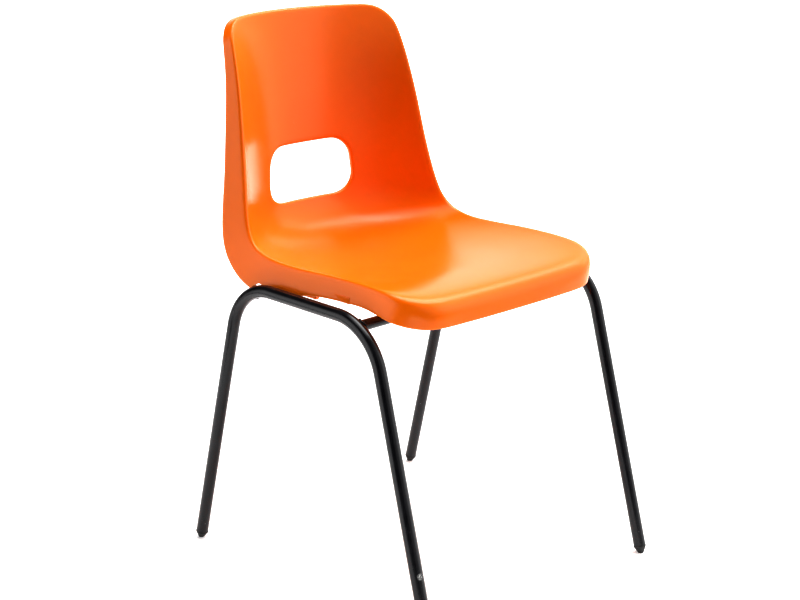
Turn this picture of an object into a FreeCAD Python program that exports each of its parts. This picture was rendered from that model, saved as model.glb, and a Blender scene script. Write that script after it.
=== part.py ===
import FreeCAD, Part
import math
import os

# Four-legged stacking chair: one-piece moulded seat shell on a bent steel tube frame.
# Millimetres, +Z up, floor at z = 0. The sitter faces -Y, so the sitter's left side is +X.
# The origin is on the floor under the middle of the overall box. The pieces are drawn about the
# middle of the four feet and moved forward by centre_shift when they are saved.

os.makedirs("parts", exist_ok=True)
Vec = FreeCAD.Vector

# ------------------------------------------------------------------ driving dimensions
tube_od = 19.0            # side frames, bent round steel tube
tube_wall = 1.6
crossbar_od = 16.0        # two straight bars between the side frames
crossbar_wall = 1.5
rail_height = 445.3       # centre of the straight top rail
rail_half_width = 227.0   # centre of the rail from the middle plane
foot_half_width = 232.0   # the legs spread very slightly sideways
rear_corner_y = 148.0     # where the rail and the rear leg would meet without the bend
front_corner_y = -140.0
foot_reach = 262.0        # feet in front of and behind the middle
bend_radius = 90.0        # on the tube centreline
crossbar_bend_angle = math.radians(25.6)   # how far round each bend the crossbar is welded

foot_cap = 13.0           # height of the plastic foot outside the tube, along the leg
foot_od = 19.6
foot_collar = 2.5         # straight part of the foot under the tube end
foot_tip_r = 4.8          # where the cone ends, just above the floor
foot_stem = 22.0          # length of the plug inside the tube
foot_fit = 0.1            # clearance on the stem radius

shell_wall = 4.0
shell_curve = 2.4         # how flat the middle of the shell is against its raised sides
stations = 18             # length of the shell measured in station steps, top edge to front lip

# Shell stations from the top edge of the back to the front lip of the seat:
# step, middle of the shell (y, z), corner of the rim (x, y, z)
shell_stations = [
    (0.0, 275, 821.5, 165, 239, 819.3),  # top edge
    (1.5, 269, 746, 172.5, 209, 748),    # shoulders
    (3.0, 263, 670, 180.5, 190, 674),    # above the hand-hold
    (4.5, 259, 597, 188, 176, 600),
    (6.0, 256, 526, 198, 160, 532),      # below the hand-hold
    (7.0, 248, 498, 202.5, 147, 509),    # back turns into the seat
    (8.0, 230, 475, 205.5, 130, 496),
    (9.0, 203, 460, 206, 108, 490),      # hips
    (10.0, 170, 453, 206, 84, 487),
    (12.0, 88, 452.5, 206.5, 30, 487.5),  # lowest part of the dish
    (14.0, -5, 462, 205.5, -33, 490),
    (16.0, -100, 474, 204, -106, 490),
    (17.0, -150, 477.5, 203.5, -150, 487),
    (18.0, -199, 476, 202, -199, 476),   # front lip
]

# Rim of the shell against the station step: size of its rounded corner on the sitter's side and
# on the flange, and full depth of the flange
rim_shoulder = [(0, 9), (1.5, 18), (6, 18), (9, 12), (14, 12), (16, 16), (17, 26), (18, 34)]
rim_roll = [(0, 9), (6, 10), (9, 12), (14, 12), (16, 16), (17, 26), (18, 34)]
rim_depth = [(0, 19), (1, 20.5), (3, 31), (5, 40), (7, 53), (8, 58), (9, 60), (11, 46), (13, 35), (16, 33),
             (17, 41), (18, 42)]
rim_flare = 0.4           # sideways spread of the flange; 1 would be square to the shell

corner_top = 36.0         # outline corner size at the top edge
corner_top_steps = 0.75
corner_front = 54.0       # outline corner size at the front lip
corner_front_steps = 1.15

hold_top = 79.5           # hand-hold slot, half width at its top and bottom
hold_bottom = 88.5
hold_top_step = 4.215     # station steps of its top and bottom edge
hold_bottom_step = 6.14
hold_corner_top = 30.0    # corner radii of the slot
hold_corner_bottom = 38.0
hold_step_length = 48.0   # length of one station step on the back
hold_lip_roll = 9.0
hold_lip_depth = 10.5

boss_x = 125.0            # screw bosses under the seat
boss_od = 24.0
pad_inner = 200.0         # moulded pads under the side flanges
pad_outer = 208.5
pad_top = 466.0
pads = [(-2, 46, 447.5), (-74, -41, 456)]   # front end, rear end, underside height

screw_od = 5.0
screw_hole = 5.6
screw_head_od = 9.6
screw_head = 3.4
screw_grip = 14.0         # thread length inside the boss
washer_od = 12.5
washer_thick = 1.2
weld_leg = 2.2            # size of the weld bead

centre_shift = 11.6       # the back of the shell overhangs the rear feet by twice this


# ------------------------------------------------------------------ helpers
def save(name, shape):
    """Write one named piece, moved so that the origin is under the middle of the chair."""
    placed = shape.copy()
    placed.translate(Vec(0, -centre_shift, 0))
    placed.exportStep("parts/" + name + ".step")


def mirrored(shape):
    """The same piece on the other side of the middle plane."""
    return shape.mirror(Vec(0, 0, 0), Vec(1, 0, 0))


def between(table, x):
    """Straight interpolation in a short table of (x, value)."""
    for (x0, v0), (x1, v1) in zip(table, table[1:]):
        if x <= x1:
            return v0 + (v1 - v0) * (x - x0) / (x1 - x0)
    return table[-1][1]


def slope_at(i):
    """Change per step at one shell station, from its neighbours."""
    a = shell_stations[max(i - 1, 0)]
    b = shell_stations[min(i + 1, len(shell_stations) - 1)]
    return [(b[k] - a[k]) / (b[0] - a[0]) for k in range(1, 6)]


def station(s):
    """Smooth shell section at any step: middle y, z and rim corner x, y, z."""
    i = 0
    while i < len(shell_stations) - 2 and s > shell_stations[i + 1][0]:
        i += 1
    a = shell_stations[i]
    b = shell_stations[i + 1]
    h = b[0] - a[0]
    t = (s - a[0]) / h
    ma = slope_at(i)
    mb = slope_at(i + 1)
    w = ((1 + 2 * t) * (1 - t) ** 2, t * (1 - t) ** 2 * h, t * t * (3 - 2 * t), t * t * (t - 1) * h)
    return [w[0] * a[k + 1] + w[1] * ma[k] + w[2] * b[k + 1] + w[3] * mb[k] for k in range(5)]


def face_point(f, s):
    """Point on the sitter's side of the shell; f runs 0 at the middle to 1 at the rim corner."""
    y0, z0, x1, y1, z1 = station(s)
    g = abs(f) ** shell_curve
    return Vec(f * x1, y0 + (y1 - y0) * g, z0 + (z1 - z0) * g)


def face_normal(f, s):
    """Unit normal of that surface, towards the sitter."""
    e = 0.001
    across = face_point(f + e, s) - face_point(f - e, s)
    down = face_point(f, s + e) - face_point(f, s - e)
    n = down.cross(across)
    n.normalize()
    return n


# ------------------------------------------------------------------ seat shell
# The skin is one closed surface: columns run from the hand-hold out to the rim, over the
# rolled flange, and back along the rear side of the wall.
top_columns = 5
corner_columns = 4
side_columns = 20
front_columns = 6
half_columns = top_columns + 2 * corner_columns + side_columns + front_columns


def rim_outline(j):
    """Rim corner line of column j, top middle to front middle, as (f, s)."""
    f_top = 1 - corner_top / shell_stations[0][3]
    f_front = 1 - corner_front / shell_stations[-1][3]
    if j <= top_columns:
        return f_top * j / top_columns, 0.0
    j -= top_columns
    if j <= corner_columns:
        a = math.pi / 2 * j / corner_columns
        return f_top + (1 - f_top) * math.sin(a), corner_top_steps * (1 - math.cos(a))
    j -= corner_columns
    if j <= side_columns:
        run = stations - corner_top_steps - corner_front_steps
        return 1.0, corner_top_steps + run * j / side_columns
    j -= side_columns
    if j <= corner_columns:
        a = math.pi / 2 * j / corner_columns
        return f_front + (1 - f_front) * math.cos(a), stations - corner_front_steps * (1 - math.sin(a))
    j -= corner_columns
    return f_front * (1 - j / front_columns), float(stations)


def hold_half_width(s):
    """Half width of the hand-hold slot between its corners."""
    return hold_top + (hold_bottom - hold_top) * (s - hold_top_step) / (hold_bottom_step - hold_top_step)


def hold_outline(j):
    """Edge of the hand-hold slot of column j, as (f, s); the slot widens evenly downwards."""
    r0 = hold_corner_top
    r1 = hold_corner_bottom
    s0 = hold_top_step + r0 / hold_step_length
    s1 = hold_bottom_step - r1 / hold_step_length
    top, corner, side = 6, 6, 5
    bottom = half_columns - top - 2 * corner - side
    if j <= top:
        s = hold_top_step
        x = (hold_top - r0) * j / top
    elif j <= top + corner:
        a = math.pi / 2 * (j - top) / corner
        s = s0 - (s0 - hold_top_step) * math.cos(a)
        x = hold_half_width(s) - r0 * (1 - math.sin(a))
    elif j <= top + corner + side:
        s = s0 + (s1 - s0) * (j - top - corner) / side
        x = hold_half_width(s)
    elif j <= top + 2 * corner + side:
        a = math.pi / 2 * (j - top - corner - side) / corner
        s = s1 + (hold_bottom_step - s1) * math.sin(a)
        x = hold_half_width(s) - r1 * (1 - math.cos(a))
    else:
        s = hold_bottom_step
        x = (hold_bottom - r1) * (half_columns - j) / bottom
    return x / station(s)[2], s


spread = [0.07, 0.16, 0.26, 0.36, 0.46, 0.56, 0.65, 0.735, 0.81, 0.875, 0.93]


def front_column(j):
    """Control points of one column on the sitter's side, slot lip to flange edge."""
    f0, s0 = hold_outline(j)
    f1, s1 = rim_outline(j)

    def along(r):
        return face_point(f0 + (f1 - f0) * r, s0 + (s1 - s0) * r)

    length = sum((along((i + 1) / 40) - along(i / 40)).Length for i in range(40))
    roll = between(rim_roll, s1)
    depth = between(rim_depth, s1)
    lip = hold_lip_roll / length
    rim = between(rim_shoulder, s1) / length
    back_lip = face_normal(f0, s0) * -1
    back_rim = face_normal(f1, min(max(s1, 0.01), stations - 0.01)) * -1
    back_rim.x *= rim_flare
    back_rim.normalize()
    edge = face_point(f0, s0)
    corner = face_point(f1, s1)
    points = [edge + back_lip * (hold_lip_depth - 0.5), edge + back_lip * (hold_lip_depth * 0.6), edge, along(lip)]
    start = lip * 1.3
    points += [along(start + (1 - rim * 1.3 - start) * r) for r in spread]
    points += [along(1 - rim), corner, corner + back_rim * roll]
    points += [corner + back_rim * (roll + (depth - roll) * 0.5)]
    points += [corner + back_rim * (depth - 3), corner + back_rim * depth]
    return points


def shell_control_net():
    """Closed net: front columns all round, then the same net set back by the wall."""
    half = [front_column(j) for j in range(half_columns + 1)]
    other = [[Vec(-p.x, p.y, p.z) for p in c] for c in half[-2:0:-1]]
    front = half + other
    count = len(front)
    rings = len(front[0])
    net = []
    for i in range(count):
        rear = []
        for k in range(rings):
            across = front[(i + 1) % count][k] - front[i - 1][k]
            outward = front[i][min(k + 1, rings - 1)] - front[i][max(k - 1, 0)]
            n = across.cross(outward)
            n.normalize()
            rear.append(front[i][k] - n * shell_wall)
        net.append(front[i] + rear[::-1])
    return net


net = shell_control_net()
u_knots = list(range(len(net) + 1))
v_knots = list(range(len(net[0]) + 1))
skin = Part.BSplineSurface()
skin.buildFromPolesMultsKnots(
    net, [1] * len(u_knots), [1] * len(v_knots), u_knots, v_knots, True, True, 3, 3)
shell = Part.Solid(Part.Shell([skin.toShape()]))
if shell.Volume < 0:
    shell.reverse()


# ------------------------------------------------------------------ frame centreline
def bend(a, b, c, radius):
    """Arc rounding the corner b of the path a-b-c: its start, middle and end."""
    u = (a - b).normalize()
    v = (c - b).normalize()
    half = u.getAngle(v) / 2
    start = b + u * (radius / math.tan(half))
    end = b + v * (radius / math.tan(half))
    centre = b + (u + v).normalize() * (radius / math.sin(half))
    middle = centre + (b - centre).normalize() * radius
    return start, middle, end, centre


rail_rear = Vec(rail_half_width, rear_corner_y, rail_height)
rail_front = Vec(rail_half_width, front_corner_y, rail_height)
floor_rear = Vec(foot_half_width, foot_reach, 0)
floor_front = Vec(foot_half_width, -foot_reach, 0)
rear_axis = (floor_rear - rail_rear).normalize()
front_axis = (floor_front - rail_front).normalize()
tube_end_rear = floor_rear - rear_axis * foot_cap
tube_end_front = floor_front - front_axis * foot_cap
rear_bend = bend(tube_end_rear, rail_rear, rail_front, bend_radius)
front_bend = bend(rail_rear, rail_front, tube_end_front, bend_radius)

frame_path = Part.Wire([
    Part.makeLine(tube_end_rear, rear_bend[0]),
    Part.Arc(rear_bend[0], rear_bend[1], rear_bend[2]).toShape(),
    Part.makeLine(rear_bend[2], front_bend[0]),
    Part.Arc(front_bend[0], front_bend[1], front_bend[2]).toShape(),
    Part.makeLine(front_bend[2], tube_end_front),
])


def along_frame(radius):
    """Solid round bar of this radius bent along the side frame."""
    ring = Part.Wire([Part.makeCircle(radius, tube_end_rear, rear_axis)])
    return frame_path.makePipeShell([ring], True, False)


frame_outside = along_frame(tube_od / 2)
side_frame = frame_outside.cut(along_frame(tube_od / 2 - tube_wall))

# ------------------------------------------------------------------ crossbars
turn_y = bend_radius * math.sin(crossbar_bend_angle)
turn_z = bend_radius * (1 - math.cos(crossbar_bend_angle))
crossbar_z = rail_height - turn_z
front_bar_y = front_bend[0].y - turn_y
rear_bar_y = rear_bend[2].y + turn_y


def bar(radius, y, half_length):
    """Round bar across the chair at this y."""
    return Part.makeCylinder(radius, 2 * half_length, Vec(-half_length, y, crossbar_z), Vec(1, 0, 0))


def crossbar(y):
    """Tube shaped at both ends to sit on the side frames, drilled for the seat screws."""
    tube = bar(crossbar_od / 2, y, rail_half_width)
    tube = tube.cut(bar(crossbar_od / 2 - crossbar_wall, y, rail_half_width + 10))
    tube = tube.cut(frame_outside)
    tube = tube.cut(mirrored(frame_outside))
    for x in (-boss_x, boss_x):
        tube = tube.cut(Part.makeCylinder(screw_hole / 2, 40, Vec(x, y, crossbar_z - 20)))
    return tube


def weld(y):
    """Bead round one crossbar end, in the corner between the bar and the side frame."""
    bead = bar(crossbar_od / 2 + weld_leg, y, rail_half_width - 1)
    bead = bead.common(along_frame(tube_od / 2 + weld_leg + 0.6))
    bead = bead.cut(bar(crossbar_od / 2, y, rail_half_width + 10))
    return bead.cut(frame_outside)


# ------------------------------------------------------------------ features moulded under the seat
def wall_cutter(x, y):
    """Block above the middle of the seat wall at this place, and the height of the wall there."""
    s = 9.0
    for i in range(60):
        f = x / station(s)[2]
        p = face_point(f, s)
        s += (p.y - y) / 60
    p = face_point(f, s)
    n = face_normal(f, s)
    middle = p - n * (shell_wall / 2)
    block = Part.makeBox(80, 80, 60, Vec(-40, -40, 0))
    block.Placement = FreeCAD.Placement(middle, FreeCAD.Rotation(Vec(0, 0, 1), n))
    return block


notch_radius = crossbar_od / 2 + weld_leg + 2.0
for side in (-1, 1):
    notch = Part.makeCylinder(notch_radius, 40, Vec(190 * side, rear_bar_y, crossbar_z), Vec(side, 0, 0))
    shell = shell.cut(notch)

for y in (front_bar_y, rear_bar_y):
    for x in (-boss_x, boss_x):
        boss = Part.makeCylinder(boss_od / 2, 60, Vec(x, y, crossbar_z))
        boss = boss.cut(wall_cutter(x, y))
        boss = boss.cut(bar(crossbar_od / 2, y, rail_half_width))
        shell = shell.fuse(boss)
        grip_top = crossbar_z + crossbar_od / 2 + screw_grip
        shell = shell.cut(Part.makeCylinder(screw_od / 2, grip_top - crossbar_z, Vec(x, y, crossbar_z)))

for y0, y1, bottom in pads:
    pad = Part.makeBox(pad_outer - pad_inner, y1 - y0, pad_top - bottom, Vec(pad_inner, y0, bottom))
    pad = pad.makeFillet(2.0, [e for e in pad.Edges if e.BoundBox.ZMax < bottom + 0.1])
    shell = shell.fuse(pad)
    shell = shell.fuse(mirrored(pad))

# ------------------------------------------------------------------ feet, screws and washers
def foot(floor_point, axis):
    """Push-in foot: stem in the tube, collar, and a cone down to a small flat where it stands."""
    r = foot_od / 2
    stem_r = tube_od / 2 - tube_wall - foot_fit
    cone_end = foot_cap - 0.6
    tip = foot_cap + 1.4
    outline = Part.Wire([
        Part.makeLine(Vec(0, 0, -foot_stem), Vec(stem_r - 1, 0, -foot_stem)),
        Part.makeLine(Vec(stem_r - 1, 0, -foot_stem), Vec(stem_r, 0, -foot_stem + 2)),
        Part.makeLine(Vec(stem_r, 0, -foot_stem + 2), Vec(stem_r, 0, 0)),
        Part.makeLine(Vec(stem_r, 0, 0), Vec(r - 0.4, 0, 0)),
        Part.makeLine(Vec(r - 0.4, 0, 0), Vec(r, 0, 0.5)),
        Part.makeLine(Vec(r, 0, 0.5), Vec(r, 0, foot_collar)),
        Part.makeLine(Vec(r, 0, foot_collar), Vec(foot_tip_r, 0, cone_end)),
        Part.Arc(Vec(foot_tip_r, 0, cone_end), Vec(foot_tip_r * 0.6, 0, tip - 0.5), Vec(0, 0, tip)).toShape(),
        Part.makeLine(Vec(0, 0, tip), Vec(0, 0, -foot_stem)),
    ])
    plug = Part.Face(outline).revolve(Vec(0, 0, 0), Vec(0, 0, 1), 360)
    plug = Part.Solid(plug) if plug.ShapeType == "Shell" else plug
    plug.Placement = FreeCAD.Placement(floor_point - axis * foot_cap, FreeCAD.Rotation(Vec(0, 0, 1), axis))
    return plug.cut(Part.makeBox(80, 80, 20, Vec(floor_point.x - 40, floor_point.y - 40, -20)))


def screw(x, y):
    """Pan-head screw with a cross recess, driven up through the crossbar into its boss."""
    seat = crossbar_z - crossbar_od / 2 - washer_thick
    shank = Part.makeCylinder(screw_od / 2, crossbar_od + washer_thick + screw_grip, Vec(x, y, seat))
    head = Part.makeCylinder(screw_head_od / 2, screw_head, Vec(x, y, seat - screw_head))
    head = head.makeFillet(1.4, [e for e in head.Edges if e.BoundBox.ZMax < seat - screw_head + 0.1])
    solid = head.fuse(shank)
    for turn in (0, 90):
        slot = Part.makeBox(5.0, 1.1, 1.8, Vec(-2.5, -0.55, 0))
        slot.Placement = FreeCAD.Placement(Vec(x, y, seat - screw_head - 0.2), FreeCAD.Rotation(Vec(0, 0, 1), turn))
        solid = solid.cut(slot)
    return solid


def washer(x, y):
    """Flat washer between the screw head and the crossbar."""
    base = Vec(x, y, crossbar_z - crossbar_od / 2 - washer_thick)
    ring = Part.makeCylinder(washer_od / 2, washer_thick, base)
    return ring.cut(Part.makeCylinder(screw_od / 2 + 0.3, washer_thick, base))


screw_places = [(x, y) for y in (front_bar_y, rear_bar_y) for x in (-boss_x, boss_x)]

# ------------------------------------------------------------------ pieces
rear_foot = foot(floor_rear, rear_axis)
front_foot = foot(floor_front, front_axis)
front_weld = weld(front_bar_y)
rear_weld = weld(rear_bar_y)

save("seat_shell", shell)
save("left_side_frame", side_frame)
save("right_side_frame", mirrored(side_frame))
save("front_crossbar", crossbar(front_bar_y))
save("rear_crossbar", crossbar(rear_bar_y))
save("front_crossbar_welds", Part.makeCompound([front_weld, mirrored(front_weld)]))
save("rear_crossbar_welds", Part.makeCompound([rear_weld, mirrored(rear_weld)]))
save("rear_left_foot", rear_foot)
save("rear_right_foot", mirrored(rear_foot))
save("front_left_foot", front_foot)
save("front_right_foot", mirrored(front_foot))
save("seat_screws", Part.makeCompound([screw(x, y) for x, y in screw_places]))
save("screw_washers", Part.makeCompound([washer(x, y) for x, y in screw_places]))
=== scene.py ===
import math

import bpy
import numpy as np
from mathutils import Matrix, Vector
from mathutils.bvhtree import BVHTree

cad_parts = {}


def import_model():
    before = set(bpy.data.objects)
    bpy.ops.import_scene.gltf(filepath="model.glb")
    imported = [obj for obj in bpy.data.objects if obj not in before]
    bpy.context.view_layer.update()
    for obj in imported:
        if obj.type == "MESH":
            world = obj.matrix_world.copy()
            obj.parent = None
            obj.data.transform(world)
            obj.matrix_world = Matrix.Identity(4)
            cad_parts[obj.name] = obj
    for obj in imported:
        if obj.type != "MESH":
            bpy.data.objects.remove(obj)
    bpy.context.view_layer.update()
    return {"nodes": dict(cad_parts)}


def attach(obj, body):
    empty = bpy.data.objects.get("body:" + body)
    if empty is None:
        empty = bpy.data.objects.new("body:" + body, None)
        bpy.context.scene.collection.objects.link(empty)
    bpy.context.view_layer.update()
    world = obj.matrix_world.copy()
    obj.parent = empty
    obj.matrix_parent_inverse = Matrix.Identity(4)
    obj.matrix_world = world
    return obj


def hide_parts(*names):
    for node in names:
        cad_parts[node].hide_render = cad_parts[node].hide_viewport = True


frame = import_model()

MM = 0.001
BODY = "root"

# ------------------------------------------------------------------ driving dimensions, millimetres
# They repeat the CAD source. The chair is drawn about the middle of its feet, then moved by SHIFT.
SHIFT = Vector((0, -11.6, 0))
TUBE_R = 9.5
RAIL_HEIGHT = 445.3
RAIL_X = 227.0
FOOT_X = 232.0
REAR_CORNER_Y = 148.0
FRONT_CORNER_Y = -140.0
FOOT_REACH = 262.0
BEND_RADIUS = 90.0
BAR_R = 8.0
BAR_ANGLE = math.radians(25.6)
FOOT_CAP = 13.0
FOOT_R = 9.8
FOOT_COLLAR = 2.5
FOOT_TIP_R = 4.8
FOOT_DOME = 1.4
WALL = 4.0
SHELL_CURVE = 2.4
STEPS = 18
# Shell sections from the top edge to the front edge, each as its step, the y and z of its middle and
# the x, y and z of its rim corner.
STATIONS = [
    (0.0, 275, 821.5, 165, 239, 819.3),
    (1.5, 269, 746, 172.5, 209, 748),
    (3.0, 263, 670, 180.5, 190, 674),
    (4.5, 259, 597, 188, 176, 600),
    (6.0, 256, 526, 198, 160, 532),
    (7.0, 248, 498, 202.5, 147, 509),
    (8.0, 230, 475, 205.5, 130, 496),
    (9.0, 203, 460, 206, 108, 490),
    (10.0, 170, 453, 206, 84, 487),
    (12.0, 88, 452.5, 206.5, 30, 487.5),
    (14.0, -5, 462, 205.5, -33, 490),
    (16.0, -100, 474, 204, -106, 490),
    (17.0, -150, 477.5, 203.5, -150, 487),
    (18.0, -199, 476, 202, -199, 476),
]
# How the rim is rolled, as (step, millimetres).
RIM_SHOULDER = [(0, 9), (1.5, 18), (6, 18), (9, 12), (14, 12), (16, 16), (17, 26), (18, 34)]
RIM_ROLL = [(0, 9), (6, 10), (9, 12), (14, 12), (16, 16), (17, 26), (18, 34)]
RIM_DEPTH = [(0, 19), (1, 20.5), (3, 31), (5, 40), (7, 53), (8, 58), (9, 60), (11, 46), (13, 35), (16, 33),
             (17, 41), (18, 42)]
RIM_EDGE = 3
RIM_FLARE = 0.4
CORNER_TOP, CORNER_TOP_STEPS = 36.0, 0.75
CORNER_FRONT, CORNER_FRONT_STEPS = 54.0, 1.15
HOLD_TOP, HOLD_BOTTOM = 79.5, 88.5
HOLD_TOP_STEP, HOLD_BOTTOM_STEP = 4.215, 6.14
HOLD_CORNER_TOP, HOLD_CORNER_BOTTOM, HOLD_STEP_LENGTH = 30.0, 38.0, 48.0
HOLD_LIP_ROLL, HOLD_LIP_DEPTH = 9.0, 10.5
BOSS_X, BOSS_R, BOSS_CHAMFER = 125.0, 12.0, 0.8
# Fillet at the root of a boss, as (depth below the seat wall, growth in radius).
BOSS_FILLET = [(5.0, 0.0), (3.0, 0.35), (1.4, 1.3), (0.4, 2.9), (-1.2, 4.6)]
# Side pads, as (front y, rear y, height of the bottom).
PADS = [(-2, 46, 447.5), (-74, -41, 456)]
PAD_INNER, PAD_OUTER, PAD_TOP = 200.0, 208.5, 466.0
PAD_ROUND = 2.6
# Rounding of a pad's lower edge, as (height above the bottom, inset).
PAD_EDGE = [(0.0, 1.8), (0.5, 0.8), (1.6, 0.0)]
NOTCH_R, NOTCH_FROM, NOTCH_LENGTH = 12.2, 190.0, 40.0
TUBE_WALL = 1.6
FOOT_STEM_R, FOOT_STEM = 7.8, 22.0
WELD_R, WELD_RIPPLE, WELD_RIPPLES = 1.75, 0.22, 22
WELD_OFFSET, WELD_REACH = 0.9, 2.0

# ------------------------------------------------------------------ how finely things are drawn
ROUND_SIDES = 48
BEND_STEPS = 40
SKIN_STEPS = 4
PAD_CORNER_STEPS = 6
FOOT_TIP_STEPS = 8
WELD_STEPS, WELD_SIDES = 120, 10
SHARP_SHELL, SHARP_TUBE, SHARP_FOOT = math.radians(42), math.radians(50), math.radians(35)
# Radius of the last ring of a turned shape, which closes its middle.
TINY_R = 0.3


# ------------------------------------------------------------------ materials
ORANGE_DEEP, ORANGE_BRIGHT, ORANGE_SCUFF = (0.90, 0.192, 0.001), (0.93, 0.214, 0.002), (1.0, 0.42, 0.16)
ENAMEL_DARK, ENAMEL_LIGHT, ENAMEL_RUBBED = (0.006, 0.006, 0.008), (0.012, 0.012, 0.015), (0.6, 0.6, 0.58)
FOOT_BLACK, FOOT_SCUFF = (0.012, 0.012, 0.012), (0.07, 0.07, 0.068)
ZINC_DARK, ZINC_LIGHT = (0.42, 0.43, 0.42), (0.62, 0.62, 0.58)
SHELL_ROUGHNESS = (0.21, 0.265)
ENAMEL_ROUGHNESS = (0.15, 0.26)
FOOT_ROUGHNESS = (0.45, 0.65)
ZINC_ROUGHNESS = (0.24, 0.42)
# Most of a noise texture's values lie between these two.
NOISE_LOW, NOISE_HIGH = 0.3, 0.7
# The one clear rub through the enamel, low on the front right leg: its place, and where it starts
# and has ended, as distances from there.
RUB_PLACE = (-0.2333, -0.2543, 0.109)
RUB_FULL, RUB_END = 0.0015, 0.0055
# Other rubs are found low on the legs, between these heights.
WORN_BELOW, WORN_UP_TO = 0.04, 0.16


class Nodes:
    """Small helper to write a node tree in few lines."""

    def __init__(self, name):
        self.material = bpy.data.materials.new(name)
        self.material.use_nodes = True
        self.tree = self.material.node_tree
        self.shader = self.tree.nodes["Principled BSDF"]

    def add(self, kind, **values):
        node = self.tree.nodes.new(kind)
        for key, value in values.items():
            setattr(node, key, value)
        return node

    def link(self, a, b):
        self.tree.links.new(a, b)

    def noise(self, scale, detail, roughness=0.5):
        where = self.add("ShaderNodeTexCoord")
        node = self.add("ShaderNodeTexNoise")
        node.inputs["Scale"].default_value = scale
        node.inputs["Detail"].default_value = detail
        node.inputs["Roughness"].default_value = roughness
        self.link(where.outputs["Object"], node.inputs["Vector"])
        return node.outputs["Fac"]

    def remap(self, source, low, high, to_low, to_high):
        node = self.add("ShaderNodeMapRange")
        for key, value in zip(("From Min", "From Max", "To Min", "To Max"), (low, high, to_low, to_high)):
            node.inputs[key].default_value = value
        self.link(source, node.inputs["Value"])
        return node.outputs["Result"]

    def vary(self, source, low, high):
        """A number that follows a noise texture between two values."""
        return self.remap(source, NOISE_LOW, NOISE_HIGH, low, high)

    def tint(self, source, low, high):
        """A colour that follows a noise texture between two others."""
        node = self.add("ShaderNodeValToRGB")
        elements = node.color_ramp.elements
        for element, place, colour in zip(elements, (NOISE_LOW, NOISE_HIGH), (low, high)):
            element.position = place
            element.color = (*colour, 1.0)
        self.link(source, node.inputs["Fac"])
        return node.outputs["Color"]

    def mix(self, factor, a, b):
        node = self.add("ShaderNodeMix", data_type="RGBA")
        self.link(factor, node.inputs["Factor"])
        for socket, value in (("A", a), ("B", b)):
            target = [s for s in node.inputs if s.name == socket and s.type == "RGBA"][0]
            if isinstance(value, tuple):
                target.default_value = (*value, 1.0)
            else:
                self.link(value, target)
        return [s for s in node.outputs if s.type == "RGBA"][0]

    def bump(self, height, strength, distance, below=None):
        node = self.add("ShaderNodeBump")
        node.inputs["Strength"].default_value = strength
        node.inputs["Distance"].default_value = distance
        self.link(height, node.inputs["Height"])
        if below is not None:
            self.link(below, node.inputs["Normal"])
        return node.outputs["Normal"]


def shell_plastic():
    """Satin orange polypropylene with a fine moulded grain and faint handling scuffs."""
    n = Nodes("orange_polypropylene")
    colour = n.tint(n.noise(4.0, 2.0), ORANGE_DEEP, ORANGE_BRIGHT)
    scuff = n.remap(n.noise(55.0, 6.0, 0.75), 0.66, 0.80, 0.0, 0.12)
    n.link(n.mix(scuff, colour, ORANGE_SCUFF), n.shader.inputs["Base Color"])
    n.link(n.vary(n.noise(18.0, 5.0, 0.6), *SHELL_ROUGHNESS), n.shader.inputs["Roughness"])
    grain = n.bump(n.noise(1400.0, 2.0), 0.10, 0.0002)
    n.link(n.bump(n.noise(26.0, 2.0), 0.06, 0.0015, grain), n.shader.inputs["Normal"])
    n.shader.inputs["IOR"].default_value = 1.49
    n.shader.inputs["Specular IOR Level"].default_value = 0.4
    n.shader.inputs["Subsurface Weight"].default_value = 0.08
    n.shader.inputs["Subsurface Radius"].default_value = (0.006, 0.002, 0.001)
    return n.material


def coated_tube():
    """Black stove enamel on steel: glossy, slightly uneven, with a few pale rubs low on the legs."""
    n = Nodes("black_enamel_tube")
    where = n.add("ShaderNodeTexCoord")
    height = n.add("ShaderNodeSeparateXYZ")
    n.link(where.outputs["Object"], height.inputs["Vector"])
    low = n.remap(height.outputs["Z"], WORN_BELOW, WORN_UP_TO, 1.0, 0.12)
    chips = n.remap(n.noise(240.0, 5.0, 0.7), 0.69, 0.72, 0.0, 1.0)
    worn = n.add("ShaderNodeMath", operation="MULTIPLY")
    n.link(low, worn.inputs[0])
    n.link(chips, worn.inputs[1])
    spot = n.add("ShaderNodeVectorMath", operation="DISTANCE")
    n.link(where.outputs["Object"], spot.inputs[0])
    spot.inputs[1].default_value = RUB_PLACE
    rubbed = n.add("ShaderNodeMath", operation="MULTIPLY")
    n.link(n.remap(spot.outputs["Value"], RUB_FULL, RUB_END, 1.0, 0.0), rubbed.inputs[0])
    n.link(n.remap(n.noise(700.0, 3.0), 0.42, 0.5, 0.0, 1.0), rubbed.inputs[1])
    both = n.add("ShaderNodeMath", operation="MAXIMUM")
    n.link(worn.outputs["Value"], both.inputs[0])
    n.link(rubbed.outputs["Value"], both.inputs[1])
    base = n.tint(n.noise(30.0, 3.0), ENAMEL_DARK, ENAMEL_LIGHT)
    n.link(n.mix(both.outputs["Value"], base, ENAMEL_RUBBED), n.shader.inputs["Base Color"])
    n.link(n.vary(n.noise(60.0, 4.0), *ENAMEL_ROUGHNESS), n.shader.inputs["Roughness"])
    n.link(n.bump(n.noise(420.0, 2.0), 0.12, 0.0003), n.shader.inputs["Normal"])
    n.shader.inputs["Specular IOR Level"].default_value = 0.5
    return n.material


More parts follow.
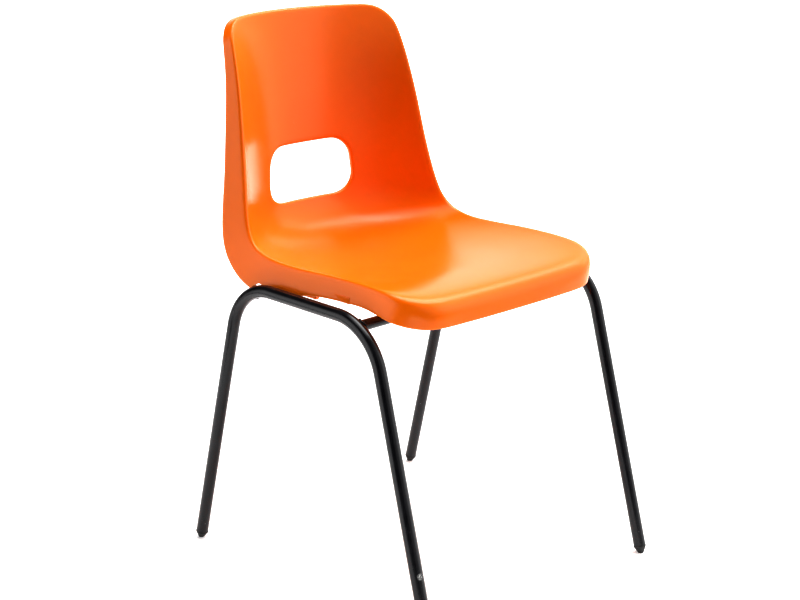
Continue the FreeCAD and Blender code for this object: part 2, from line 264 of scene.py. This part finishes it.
def foot_plastic():
    """Matt black plastic with grey scuffs."""
    n = Nodes("black_foot_plastic")
    scuff = n.remap(n.noise(300.0, 5.0, 0.7), 0.5, 0.75, 0.0, 0.5)
    n.link(n.mix(scuff, FOOT_BLACK, FOOT_SCUFF), n.shader.inputs["Base Color"])
    n.link(n.vary(n.noise(120.0, 4.0), *FOOT_ROUGHNESS), n.shader.inputs["Roughness"])
    n.link(n.bump(n.noise(900.0, 3.0), 0.15, 0.0003), n.shader.inputs["Normal"])
    return n.material


def zinc():
    """Bright zinc plate on the screws and washers."""
    n = Nodes("zinc_plate")
    n.link(n.tint(n.noise(500.0, 4.0), ZINC_DARK, ZINC_LIGHT), n.shader.inputs["Base Color"])
    n.link(n.vary(n.noise(700.0, 3.0), *ZINC_ROUGHNESS), n.shader.inputs["Roughness"])
    n.shader.inputs["Metallic"].default_value = 1.0
    return n.material


PLASTIC = shell_plastic()
ENAMEL = coated_tube()
FOOT = foot_plastic()
ZINC = zinc()


# ------------------------------------------------------------------ mesh helpers
def piece(name, points, faces, material, slot, nodes):
    """A mesh piece from points in millimetres about the feet, riding on the chair."""
    mesh = bpy.data.meshes.new(name)
    mesh.from_pydata([tuple((Vector(p) + SHIFT) * MM) for p in points], [], faces)
    mesh.update()
    mesh.polygons.foreach_set("use_smooth", [True] * len(mesh.polygons))
    mesh.materials.append(material)
    obj = bpy.data.objects.new(name, mesh)
    bpy.context.scene.collection.objects.link(obj)
    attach(obj, BODY)
    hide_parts(*nodes)
    return obj


def loops_to_mesh(loops, closed=False):
    """Points and faces of a tube through equal loops of points, with its ends filled."""
    count = len(loops[0])
    points = [p for loop in loops for p in loop]
    faces = []
    last = len(loops) if closed else len(loops) - 1
    for i in range(last):
        a = i * count
        b = (i + 1) % len(loops) * count
        faces += [(a + k, a + (k + 1) % count, b + (k + 1) % count, b + k) for k in range(count)]
    if not closed:
        faces.append(tuple(range(count))[::-1])
        faces.append(tuple(len(points) - count + k for k in range(count)))
    return points, faces


def joined(parts):
    """Several (points, faces) as one."""
    points, faces = [], []
    for more_points, more_faces in parts:
        faces += [tuple(i + len(points) for i in f) for f in more_faces]
        points += list(more_points)
    return points, faces


def turned(profile, base, axis):
    """Loops of a profile of (radius, distance along the axis) turned round the axis."""
    axis = axis.normalized()
    u = axis.orthogonal().normalized()
    v = axis.cross(u)
    return [
        [base + axis * d + (u * math.cos(t) + v * math.sin(t)) * r
         for t in (2 * math.pi * k / ROUND_SIDES for k in range(ROUND_SIDES))]
        for r, d in profile
    ]


def shape_only(name, parts):
    """Plain object of several closed parts, used to cut or extend another one."""
    points, faces = joined(parts)
    mesh = bpy.data.meshes.new(name)
    mesh.from_pydata([tuple((Vector(p) + SHIFT) * MM) for p in points], [], faces)
    obj = bpy.data.objects.new(name, mesh)
    bpy.context.scene.collection.objects.link(obj)
    return obj


def combine(obj, other, operation):
    """Apply a boolean with the other object, which is then removed."""
    modifier = obj.modifiers.new(operation.lower(), "BOOLEAN")
    modifier.operation = operation
    modifier.object = other
    modifier.solver = "EXACT"
    depsgraph = bpy.context.evaluated_depsgraph_get()
    result = bpy.data.meshes.new_from_object(obj.evaluated_get(depsgraph))
    obj.modifiers.clear()
    obj.data = result
    bpy.data.objects.remove(other)


# ------------------------------------------------------------------ seat shell
# Columns of the net along each stretch of the rim and of the slot's edge, from the top middle down.
TOP, CORNER, SIDE, FRONT = 5, 4, 20, 6
HALF = TOP + 2 * CORNER + SIDE + FRONT
HOLD_COLUMNS_TOP, HOLD_COLUMNS_CORNER, HOLD_COLUMNS_SIDE = 6, 6, 5
# The plain rows keep off the rolled edges by this many times the roll's width.
CLEAR_OF_ROLL = 1.3
# Where the rows of the net lie between the slot's lip and the rim, as parts of the way.
SPREAD = [0.07, 0.16, 0.26, 0.36, 0.46, 0.56, 0.65, 0.735, 0.81, 0.875, 0.93]


def between(table, x):
    """Value of a table of (step, value) at any step."""
    return float(np.interp(x, [row[0] for row in table], [row[1] for row in table]))


def slope_at(i):
    """Change per step of the section's five values at a station."""
    a = STATIONS[max(i - 1, 0)]
    b = STATIONS[min(i + 1, len(STATIONS) - 1)]
    return [(b[k] - a[k]) / (b[0] - a[0]) for k in range(1, 6)]


def station(s):
    """Shell section at any step: middle y, z and rim corner x, y, z."""
    i = 0
    while i < len(STATIONS) - 2 and s > STATIONS[i + 1][0]:
        i += 1
    a, b = STATIONS[i], STATIONS[i + 1]
    h = b[0] - a[0]
    t = (s - a[0]) / h
    ma, mb = slope_at(i), slope_at(i + 1)
    w = (
        (1 + 2 * t) * (1 - t) ** 2,
        t * (1 - t) ** 2 * h,
        t * t * (3 - 2 * t),
        t * t * (t - 1) * h,
    )
    return [w[0] * a[k + 1] + w[1] * ma[k] + w[2] * b[k + 1] + w[3] * mb[k] for k in range(5)]


def face_point(f, s):
    """Point of the sitter's side at a fraction f of the half width and a step s."""
    y0, z0, x1, y1, z1 = station(s)
    g = abs(f) ** SHELL_CURVE
    return Vector((f * x1, y0 + (y1 - y0) * g, z0 + (z1 - z0) * g))


def face_normal(f, s):
    """Direction out of the shell towards the sitter, from points a little way off on each side."""
    e = 0.001
    across = face_point(f + e, s) - face_point(f - e, s)
    down = face_point(f, s + e) - face_point(f, s - e)
    return down.cross(across).normalized()


def rim_outline(j):
    """Fraction and step of the rim corner line at column j, top middle to front middle."""
    f_top = 1 - CORNER_TOP / STATIONS[0][3]
    f_front = 1 - CORNER_FRONT / STATIONS[-1][3]
    if j <= TOP:
        return f_top * j / TOP, 0.0
    j -= TOP
    if j <= CORNER:
        a = math.pi / 2 * j / CORNER
        return f_top + (1 - f_top) * math.sin(a), CORNER_TOP_STEPS * (1 - math.cos(a))
    j -= CORNER
    if j <= SIDE:
        return 1.0, CORNER_TOP_STEPS + (STEPS - CORNER_TOP_STEPS - CORNER_FRONT_STEPS) * j / SIDE
    j -= SIDE
    if j <= CORNER:
        a = math.pi / 2 * j / CORNER
        return f_front + (1 - f_front) * math.cos(a), STEPS - CORNER_FRONT_STEPS * (1 - math.sin(a))
    return f_front * (1 - (j - CORNER) / FRONT), float(STEPS)


def hold_half_width(s):
    """Half width of the hand-hold slot at a step."""
    return HOLD_TOP + (HOLD_BOTTOM - HOLD_TOP) * (s - HOLD_TOP_STEP) / (HOLD_BOTTOM_STEP - HOLD_TOP_STEP)


def hold_outline(j):
    """Fraction and step of the hand-hold slot's edge at column j."""
    r0, r1 = HOLD_CORNER_TOP, HOLD_CORNER_BOTTOM
    s0 = HOLD_TOP_STEP + r0 / HOLD_STEP_LENGTH
    s1 = HOLD_BOTTOM_STEP - r1 / HOLD_STEP_LENGTH
    top, corner, side = HOLD_COLUMNS_TOP, HOLD_COLUMNS_CORNER, HOLD_COLUMNS_SIDE
    bottom = HALF - top - 2 * corner - side
    if j <= top:
        x, s = (HOLD_TOP - r0) * j / top, HOLD_TOP_STEP
    elif j <= top + corner:
        a = math.pi / 2 * (j - top) / corner
        s = s0 - (s0 - HOLD_TOP_STEP) * math.cos(a)
        x = hold_half_width(s) - r0 * (1 - math.sin(a))
    elif j <= top + corner + side:
        s = s0 + (s1 - s0) * (j - top - corner) / side
        x = hold_half_width(s)
    elif j <= top + 2 * corner + side:
        a = math.pi / 2 * (j - top - corner - side) / corner
        s = s1 + (HOLD_BOTTOM_STEP - s1) * math.sin(a)
        x = hold_half_width(s) - r1 * (1 - math.cos(a))
    else:
        x, s = (HOLD_BOTTOM - r1) * (HALF - j) / bottom, HOLD_BOTTOM_STEP
    return x / station(s)[2], s


def front_column(j):
    """Control points of one column on the sitter's side, slot lip to flange edge."""
    f0, s0 = hold_outline(j)
    f1, s1 = rim_outline(j)

    def along(r):
        return face_point(f0 + (f1 - f0) * r, s0 + (s1 - s0) * r)

    parts = 40
    length = sum((along((i + 1) / parts) - along(i / parts)).length for i in range(parts))
    roll = between(RIM_ROLL, s1)
    depth = between(RIM_DEPTH, s1)
    lip = HOLD_LIP_ROLL / length
    rim = between(RIM_SHOULDER, s1) / length
    back_lip = -face_normal(f0, s0)
    inside = 0.01
    back_rim = -face_normal(f1, min(max(s1, inside), STEPS - inside))
    back_rim.x *= RIM_FLARE
    back_rim.normalize()
    edge = face_point(f0, s0)
    corner = face_point(f1, s1)
    points = [edge + back_lip * (HOLD_LIP_DEPTH - 0.5), edge + back_lip * (HOLD_LIP_DEPTH * 0.6)]
    points += [edge, along(lip)]
    start = lip * CLEAR_OF_ROLL
    points += [along(start + (1 - rim * CLEAR_OF_ROLL - start) * r) for r in SPREAD]
    points += [along(1 - rim), corner, corner + back_rim * roll]
    points += [corner + back_rim * (roll + (depth - roll) * 0.5)]
    points += [corner + back_rim * (depth - RIM_EDGE), corner + back_rim * depth]
    return points


def control_net():
    """Closed net of the skin: the sitter's side all round, then the same set back by the wall."""
    half = np.array([[tuple(p) for p in front_column(j)] for j in range(HALF + 1)])
    front = np.concatenate([half, half[-2:0:-1] * np.array([-1, 1, 1])])
    across = np.roll(front, -1, 0) - np.roll(front, 1, 0)
    padded = np.concatenate([front[:, :1], front, front[:, -1:]], 1)
    outward = padded[:, 2:] - padded[:, :-2]
    normal = np.cross(across, outward)
    normal /= np.linalg.norm(normal, axis=2, keepdims=True)
    rear = front - normal * WALL
    return np.concatenate([front, rear[:, ::-1]], 1)


def refine(net, times):
    """Points of the closed uniform cubic spline of this net, several per span, along axis 0."""
    rows = []
    for k in range(times):
        t = k / times
        w = (
            (1 - t) ** 3 / 6,
            (3 * t ** 3 - 6 * t * t + 4) / 6,
            (-3 * t ** 3 + 3 * t * t + 3 * t + 1) / 6,
            t ** 3 / 6,
        )
        rows.append(sum(w[m] * np.roll(net, -m, 0) for m in range(4)))
    return np.stack(rows, 1).reshape((-1,) + net.shape[1:])


def shell_skin():
    """Points and faces of the smooth closed skin."""
    columns = refine(control_net(), SKIN_STEPS)
    surface = refine(np.swapaxes(columns, 0, 1), SKIN_STEPS)
    loops = [[Vector(p) for p in ring] for ring in surface]
    return loops_to_mesh(loops, closed=True)


skin_points, skin_faces = shell_skin()
skin_tree = BVHTree.FromPolygons(skin_points, skin_faces)


def underside(x, y):
    """Height of the underside of the seat here, found by a ray from below it."""
    from_below = 300
    hit = skin_tree.ray_cast(Vector((x, y, from_below)), Vector((0, 0, 1)))[0]
    return hit.z


# ------------------------------------------------------------------ frame centreline
def bend(a, b, c, radius):
    """Start, end and centre of the arc rounding corner b."""
    u = (a - b).normalized()
    v = (c - b).normalized()
    half = u.angle(v) / 2
    start = b + u * (radius / math.tan(half))
    end = b + v * (radius / math.tan(half))
    centre = b + (u + v).normalized() * (radius / math.sin(half))
    return start, end, centre


def arc_points(start, end, centre):
    """Points along the arc, both ends included."""
    a = start - centre
    b = end - centre
    whole = a.angle(b)
    points = []
    for k in range(BEND_STEPS + 1):
        part = k / BEND_STEPS
        spoke = (a * math.sin((1 - part) * whole) + b * math.sin(part * whole)) / math.sin(whole)
        points.append(centre + spoke)
    return points


def frame_path(side):
    """Centreline of one side frame from the rear tube end to the front one, its foot axes and its bends."""
    rail_rear = Vector((RAIL_X * side, REAR_CORNER_Y, RAIL_HEIGHT))
    rail_front = Vector((RAIL_X * side, FRONT_CORNER_Y, RAIL_HEIGHT))
    floor_rear = Vector((FOOT_X * side, FOOT_REACH, 0))
    floor_front = Vector((FOOT_X * side, -FOOT_REACH, 0))
    rear_axis = (floor_rear - rail_rear).normalized()
    front_axis = (floor_front - rail_front).normalized()
    rear_end = floor_rear - rear_axis * FOOT_CAP
    front_end = floor_front - front_axis * FOOT_CAP
    rear = bend(rear_end, rail_rear, rail_front, BEND_RADIUS)
    front = bend(rail_rear, rail_front, front_end, BEND_RADIUS)
    path = [rear_end] + arc_points(*rear) + arc_points(*front) + [front_end]
    return path, (rear_end, rear_axis), (front_end, front_axis), rear, front


def swept(path, radius):
    """Loops of a round bar along a path that lies in one plane close to YZ."""
    loops = []
    for i, p in enumerate(path):
        ahead = path[min(i + 1, len(path) - 1)]
        behind = path[max(i - 1, 0)]
        t = (ahead - behind).normalized()
        u = Vector((1, 0, 0))
        u = (u - t * u.dot(t)).normalized()
        v = t.cross(u)
        loops.append([p + (u * math.cos(a) + v * math.sin(a)) * radius
                      for a in (2 * math.pi * k / ROUND_SIDES for k in range(ROUND_SIDES))])
    return loops


_, _, _, REAR_BEND, FRONT_BEND = frame_path(1)
BAR_Z = RAIL_HEIGHT - BEND_RADIUS * (1 - math.cos(BAR_ANGLE))
FRONT_BAR_Y = FRONT_BEND[0].y - BEND_RADIUS * math.sin(BAR_ANGLE)
REAR_BAR_Y = REAR_BEND[1].y + BEND_RADIUS * math.sin(BAR_ANGLE)


# ------------------------------------------------------------------ moulded details under the seat
def boss(x, y):
    """Screw boss that sits on a crossbar, with a small fillet where it grows out of the seat wall."""
    angles = [2 * math.pi * k / ROUND_SIDES for k in range(ROUND_SIDES)]

    def ring(radius, height):
        return [Vector((x + radius * math.cos(a), y + radius * math.sin(a), height(a, radius)))
                for a in angles]

    def on_bar(a, radius):
        return BAR_Z + math.sqrt(max(BAR_R ** 2 - (radius * math.sin(a)) ** 2, 0.0))

    def above_bar(a, radius):
        return on_bar(a, radius) + BOSS_CHAMFER

    def below_wall(drop):
        return lambda a, radius: underside(x + radius * math.cos(a), y + radius * math.sin(a)) - drop

    loops = [ring(radius, on_bar) for radius in (2 * TINY_R, BOSS_R * 0.5, BOSS_R - BOSS_CHAMFER)]
    loops.append(ring(BOSS_R, above_bar))
    loops += [ring(BOSS_R + grow, below_wall(drop)) for drop, grow in BOSS_FILLET]
    return loops_to_mesh(loops)


def pad(side, y0, y1, bottom):
    """Rounded block moulded on the inside of the side flange."""
    x0, x1 = PAD_INNER, PAD_OUTER
    cx, cy = (x0 + x1) / 2, (y0 + y1) / 2
    hx, hy = (x1 - x0) / 2, (y1 - y0) / 2
    loops = []
    r = PAD_ROUND
    for z, inset in [(bottom + up, inset) for up, inset in PAD_EDGE] + [(PAD_TOP, 0.0)]:
        loop = []
        for quarter in range(4):
            for k in range(PAD_CORNER_STEPS + 1):
                a = math.pi / 2 * (quarter + k / PAD_CORNER_STEPS)
                sx = 1 if quarter in (0, 3) else -1
                sy = 1 if quarter in (0, 1) else -1
                px = cx + sx * (hx - r) + (r - inset) * math.cos(a)
                py = cy + sy * (hy - r) + (r - inset) * math.sin(a)
                loop.append(Vector((px * side, py, z)))
        loops.append(loop if side > 0 else loop[::-1])
    return loops_to_mesh(loops)


def notch(side):
    """Cutter for the round notch in the flange where the rear crossbar passes."""
    profile = [(NOTCH_R, 0.0), (NOTCH_R, NOTCH_LENGTH / 2), (NOTCH_R, NOTCH_LENGTH)]
    start = Vector((NOTCH_FROM * side, REAR_BAR_Y, BAR_Z))
    return loops_to_mesh(turned(profile, start, Vector((side, 0, 0))))


shell = piece("seat_shell_moulding", skin_points, skin_faces, PLASTIC, "shell_plastic", ["seat_shell"])
bosses = [boss(x, y) for y in (FRONT_BAR_Y, REAR_BAR_Y) for x in (-BOSS_X, BOSS_X)]
pads = [pad(side, *size) for side in (-1, 1) for size in PADS]
combine(shell, shape_only("notches", [notch(side) for side in (-1, 1)]), "DIFFERENCE")
combine(shell, shape_only("under_seat_details", bosses + pads), "UNION")
shell.data.polygons.foreach_set("use_smooth", [True] * len(shell.data.polygons))
shell.data.set_sharp_from_angle(angle=SHARP_SHELL)


# ------------------------------------------------------------------ frame tubes, welds and feet
def weld_bead(y, side, turn):
    """Rippled bead in the corner between a crossbar end and the side tube."""
    lean = Vector((0, math.cos(turn), math.sin(turn)))
    across = Vector((0, -lean.z, lean.y))
    loops = []
    r = BAR_R + WELD_OFFSET
    for i in range(WELD_STEPS):
        a = 2 * math.pi * i / WELD_STEPS
        out = lean * math.cos(a) + across * math.sin(a)
        size = WELD_R + WELD_RIPPLE * math.cos(a * WELD_RIPPLES)
        reach = math.sqrt(max(TUBE_R ** 2 - (r * math.sin(a)) ** 2, WELD_REACH ** 2))
        centre = Vector((side * (RAIL_X - reach - WELD_OFFSET), y, BAR_Z)) + out * r
        loops.append([centre + (out * math.cos(b) + Vector((side, 0, 0)) * math.sin(b)) * size
                      for b in (2 * math.pi * k / WELD_SIDES for k in range(WELD_SIDES))])
    return loops_to_mesh(loops, closed=True)


# Stem and collar of a foot, as (radius, distance from the tube end).
FOOT_PROFILE = [
    (TINY_R, -FOOT_STEM), (FOOT_STEM_R - 1, -FOOT_STEM), (FOOT_STEM_R, 2 - FOOT_STEM), (FOOT_STEM_R, -0.05),
    (FOOT_R - 0.5, 0.0), (FOOT_R - 0.15, 0.2), (FOOT_R, 0.6), (FOOT_R, FOOT_COLLAR - 0.4),
    (FOOT_R - 0.1, FOOT_COLLAR + 0.1), (FOOT_R - 0.4, FOOT_COLLAR + 0.7),
]


def foot(base, axis):
    """Tapered foot on the tube end, cut flat where it stands on the floor."""
    tip = FOOT_CAP + FOOT_DOME
    cone_end, handle, middle = (FOOT_TIP_R, FOOT_CAP - 0.6), (FOOT_TIP_R - 1.0, tip), (TINY_R, tip)
    profile = list(FOOT_PROFILE)
    for k in range(FOOT_TIP_STEPS + 1):
        t = k / FOOT_TIP_STEPS
        w = ((1 - t) ** 2, 2 * t * (1 - t), t * t)
        profile.append(tuple(w[0] * a + w[1] * b + w[2] * c for a, b, c in zip(cone_end, handle, middle)))
    loops = turned(profile, base, axis)
    return [[Vector((p.x, p.y, max(p.z, 0.0))) for p in loop] for loop in loops]


for side, name in ((1, "left"), (-1, "right")):
    path, rear_end, front_end, _, _ = frame_path(side)
    loops = swept(path, TUBE_R) + swept(path, TUBE_R - TUBE_WALL)[::-1]
    tube = piece(name + "_side_frame_tube", *loops_to_mesh(loops, closed=True), ENAMEL, "coated_tube",
                 [name + "_side_frame"])
    tube.data.set_sharp_from_angle(angle=SHARP_TUBE)
    for place, (base, axis) in (("rear", rear_end), ("front", front_end)):
        node = place + "_" + name + "_foot"
        plug = piece(node + "_plug", *loops_to_mesh(foot(base, axis)), FOOT, "foot_plastic", [node])
        plug.data.set_sharp_from_angle(angle=SHARP_FOOT)

for place, y, turn in (("front", FRONT_BAR_Y, BAR_ANGLE), ("rear", REAR_BAR_Y, -BAR_ANGLE)):
    beads = joined([weld_bead(y, side, turn) for side in (-1, 1)])
    piece(place + "_weld_beads", *beads, ENAMEL, "coated_tube", [place + "_crossbar_welds"])

for name, material in (("seat_screws", ZINC), ("screw_washers", ZINC), ("front_crossbar", ENAMEL),
                       ("rear_crossbar", ENAMEL)):
    for slot in frame["nodes"][name].material_slots:
        slot.link = "OBJECT"
        slot.material = material


# ------------------------------------------------------------------ studio
# The pale floor ends a little in front of the chair, as a paper sweep does, and runs far behind it.
FLOOR_NEAR, FLOOR_FAR = (-0.85, -0.95), (30.0, 30.0)
FLOOR_WHITE, FLOOR_ROUGHNESS = 0.93, 0.9
FLOOR_GLOW = 0.4


def floor():
    """The studio floor, staged so that it isn't part of the chair."""
    (x0, y0), (x1, y1) = FLOOR_NEAR, FLOOR_FAR
    mesh = bpy.data.meshes.new("studio_floor")
    mesh.from_pydata([(x0, y0, 0), (x1, y0, 0), (x1, y1, 0), (x0, y1, 0)], [], [(0, 1, 2, 3)])
    n = Nodes("floor_white")
    n.shader.inputs["Base Color"].default_value = (FLOOR_WHITE, FLOOR_WHITE, FLOOR_WHITE, 1.0)
    n.shader.inputs["Roughness"].default_value = FLOOR_ROUGHNESS
    n.shader.inputs["Emission Color"].default_value = (1.0, 1.0, 1.0, 1.0)
    n.shader.inputs["Emission Strength"].default_value = FLOOR_GLOW
    mesh.materials.append(n.material)
    obj = bpy.data.objects.new("studio_floor", mesh)
    bpy.context.scene.collection.objects.link(obj)


# Soft light panels as seen from the chair: azimuth from +X, elevation, half angle and strength.
PANELS = [
    (45, 8, 46, 1.6),      # white backdrop
    (328, 14, 44, 2.0),    # low on the far side
    (285, 22, 50, 0.8),    # weak and wide, in front of the chair
    (0, 38, 28, 1.6),      # beside the chair
    (0, 66, 30, 6.8),      # overhead, towards the far side
    (0, 90, 30, 3.0),      # straight above
    (154, 4, 42, 2.6),     # low, on the near side
]
# Light from everywhere, the backdrop's strength as the camera sees it, and the even part of each panel.
FILL = 0.03
BACKDROP = 1.6
PANEL_CORE = 0.4


def world():
    """Soft studio light from the panels, and a plain white backdrop behind the floor."""
    w = bpy.data.worlds.new("studio")
    bpy.context.scene.world = w
    w.use_nodes = True
    tree = w.node_tree
    lit = tree.nodes["Background"]
    where = tree.nodes.new("ShaderNodeTexCoord")
    total = None
    for azimuth, elevation, half, strength in PANELS:
        a, e = math.radians(azimuth), math.radians(elevation)
        facing = tree.nodes.new("ShaderNodeVectorMath")
        facing.operation = "DOT_PRODUCT"
        facing.inputs[1].default_value = (math.cos(e) * math.cos(a), math.cos(e) * math.sin(a), math.sin(e))
        tree.links.new(where.outputs["Generated"], facing.inputs[0])
        panel = tree.nodes.new("ShaderNodeMapRange")
        panel.interpolation_type = "SMOOTHSTEP"
        panel.inputs["From Min"].default_value = math.cos(math.radians(half))
        panel.inputs["From Max"].default_value = math.cos(math.radians(half * PANEL_CORE))
        panel.inputs["To Max"].default_value = strength
        tree.links.new(facing.outputs["Value"], panel.inputs["Value"])
        added = tree.nodes.new("ShaderNodeMath")
        added.inputs[1].default_value = FILL
        tree.links.new(panel.outputs["Result"], added.inputs[0])
        if total is not None:
            tree.links.new(total, added.inputs[1])
        total = added.outputs["Value"]
    tree.links.new(total, lit.inputs["Strength"])
    lit.inputs["Color"].default_value = (1.0, 1.0, 1.0, 1.0)
    seen = tree.nodes.new("ShaderNodeBackground")
    seen.inputs["Strength"].default_value = BACKDROP
    path = tree.nodes.new("ShaderNodeLightPath")
    either = tree.nodes.new("ShaderNodeMixShader")
    tree.links.new(path.outputs["Is Camera Ray"], either.inputs[0])
    tree.links.new(lit.outputs["Background"], either.inputs[1])
    tree.links.new(seen.outputs["Background"], either.inputs[2])
    tree.links.new(either.outputs["Shader"], tree.nodes["World Output"].inputs["Surface"])


CAMERA_PLACE = Vector((-1.639, -1.692, 1.106))
CAMERA_HEADING = math.radians(-43.56)
CAMERA_DOWN = math.radians(16.64)
CAMERA_LENS = 72.7


def camera():
    """The photo's camera, as solved from it."""
    data = bpy.data.cameras.new("camera")
    data.lens = CAMERA_LENS
    data.sensor_width = 36.0
    obj = bpy.data.objects.new("camera", data)
    obj.location = CAMERA_PLACE
    obj.rotation_euler = (math.pi / 2 - CAMERA_DOWN, 0.0, CAMERA_HEADING)
    bpy.context.scene.collection.objects.link(obj)
    bpy.context.scene.camera = obj


floor()
world()
camera()
bpy.context.scene.view_settings.view_transform = "Standard"
bpy.context.scene.view_settings.gamma = 0.7
